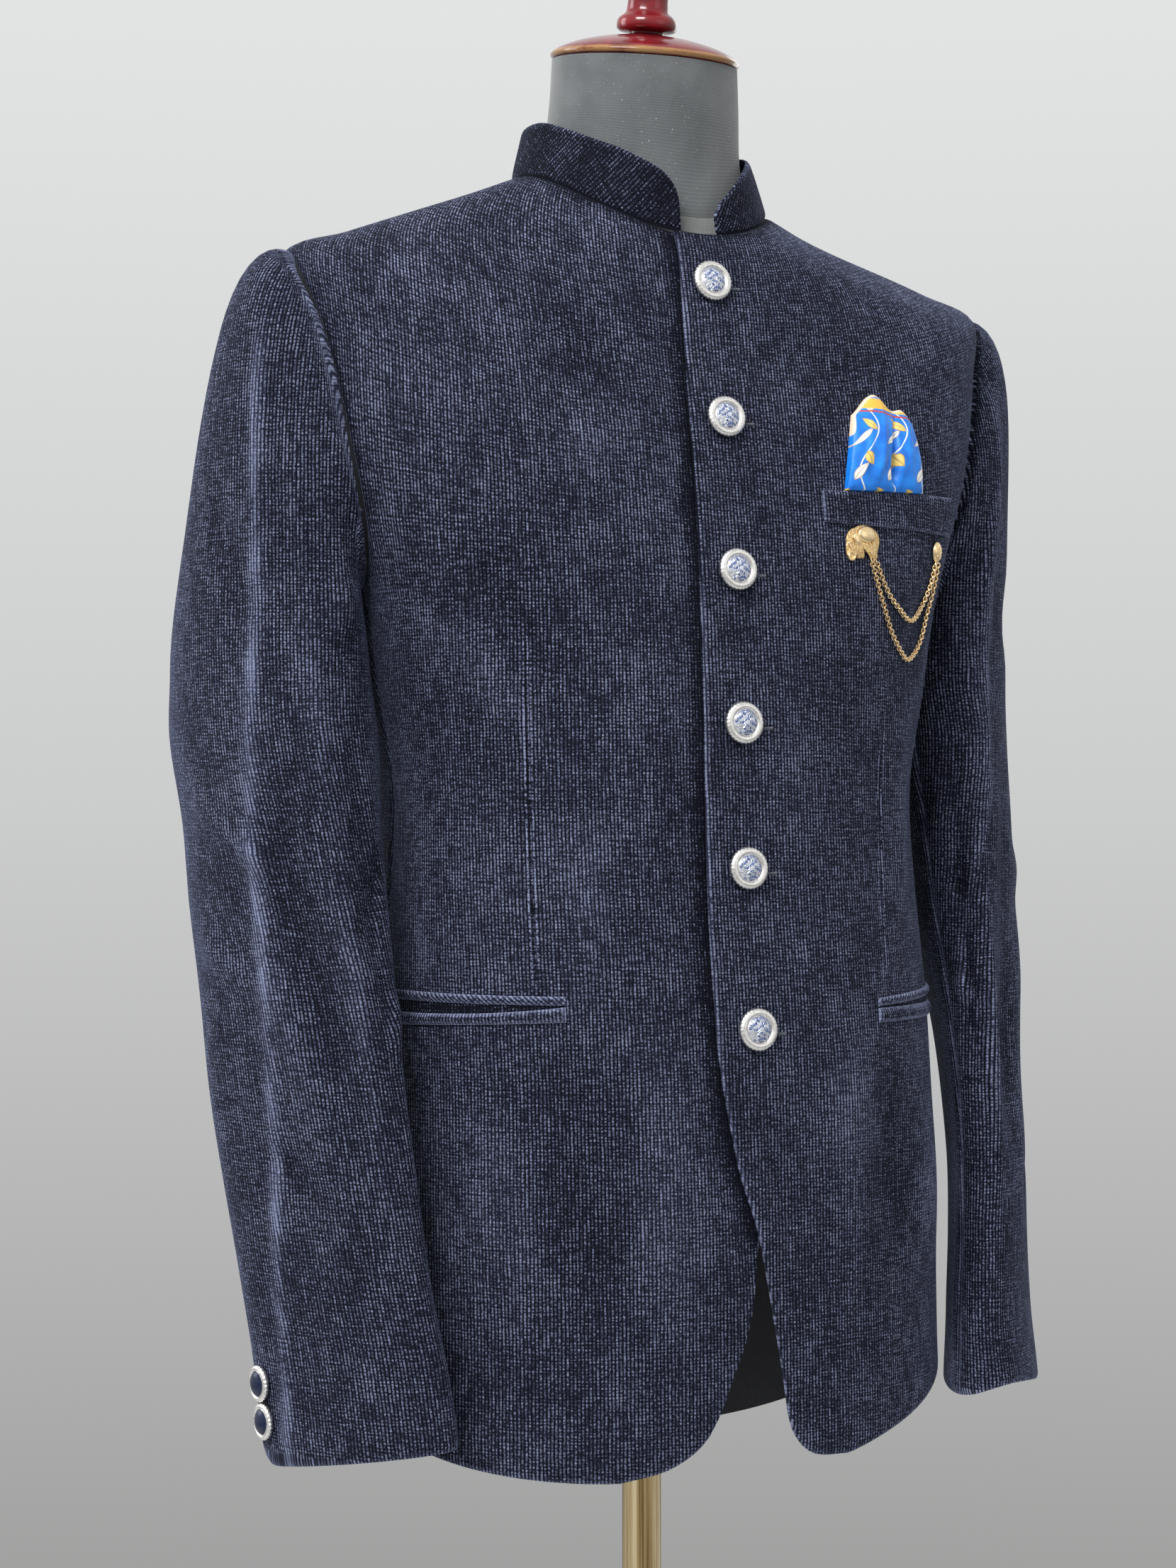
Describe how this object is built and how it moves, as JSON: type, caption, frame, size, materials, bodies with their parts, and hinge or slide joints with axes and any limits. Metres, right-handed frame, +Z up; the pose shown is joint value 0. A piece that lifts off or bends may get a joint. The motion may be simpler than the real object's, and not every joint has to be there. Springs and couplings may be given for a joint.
{
  "type": "bandhgala jacket on a dress form",
  "caption": "Navy stand-collar jacket with metal buttons and a pocket square, worn by a limbless dress form on a pole with a round base.",
  "frame": {"origin": "centre of the stand's base, on the floor under the pole", "axes": "+Z up along the pole, the jacket's front faces -Y, the wearer's left is +X"},
  "size_m": [0.5496, 0.35, 1.6343],
  "materials": {
    "velvet": "navy fine-wale velvet, heathered, matte with a soft sheen",
    "lining": "dark smooth lining",
    "square_silk": "printed silk, soft gloss",
    "button_silver": "polished silver-coloured metal with enamel",
    "button_enamel": "blue enamel",
    "brooch_gold": "polished gold-coloured metal",
    "thread": "dark sewing thread",
    "form_cloth": "grey woven cover",
    "form_rib": "grey-green fine rib knit",
    "cap_lacquer": "red-brown gloss lacquer",
    "stand_brass": "polished pale brass"
  },
  "bodies": {
    "root": {"front_left": "velvet", "front_right": "velvet", "back_left": "velvet", "back_right": "velvet", "sleeve_top_left": "velvet", "sleeve_under_left": "velvet", "sleeve_top_right": "velvet", "sleeve_under_right": "velvet", "collar": "velvet", "breast_welt": "velvet", "pocket_square": "square_silk", "jet_upper_right": "velvet", "jet_lower_right": "velvet", "jet_upper_left": "velvet", "jet_lower_left": "velvet", "button_front_1": "button_silver", "button_front_2": "button_silver", "button_front_3": "button_silver", "button_front_4": "button_silver", "button_front_5": "button_silver", "button_front_6": "button_silver", "button_cuff_left_1": "button_silver", "button_cuff_left_2": "button_silver", "button_cuff_right_1": "button_silver", "button_cuff_right_2": "button_silver", "brooch_elephant": "brooch_gold", "brooch_stud": "brooch_gold", "brooch_chain_short": "brooch_gold", "brooch_chain_long": "brooch_gold", "form_torso": "form_cloth", "form_neck": "form_rib", "neck_cap": "cap_lacquer", "stand_pole": "stand_brass", "stand_base": "stand_brass"}
  },
  "joints": []
}
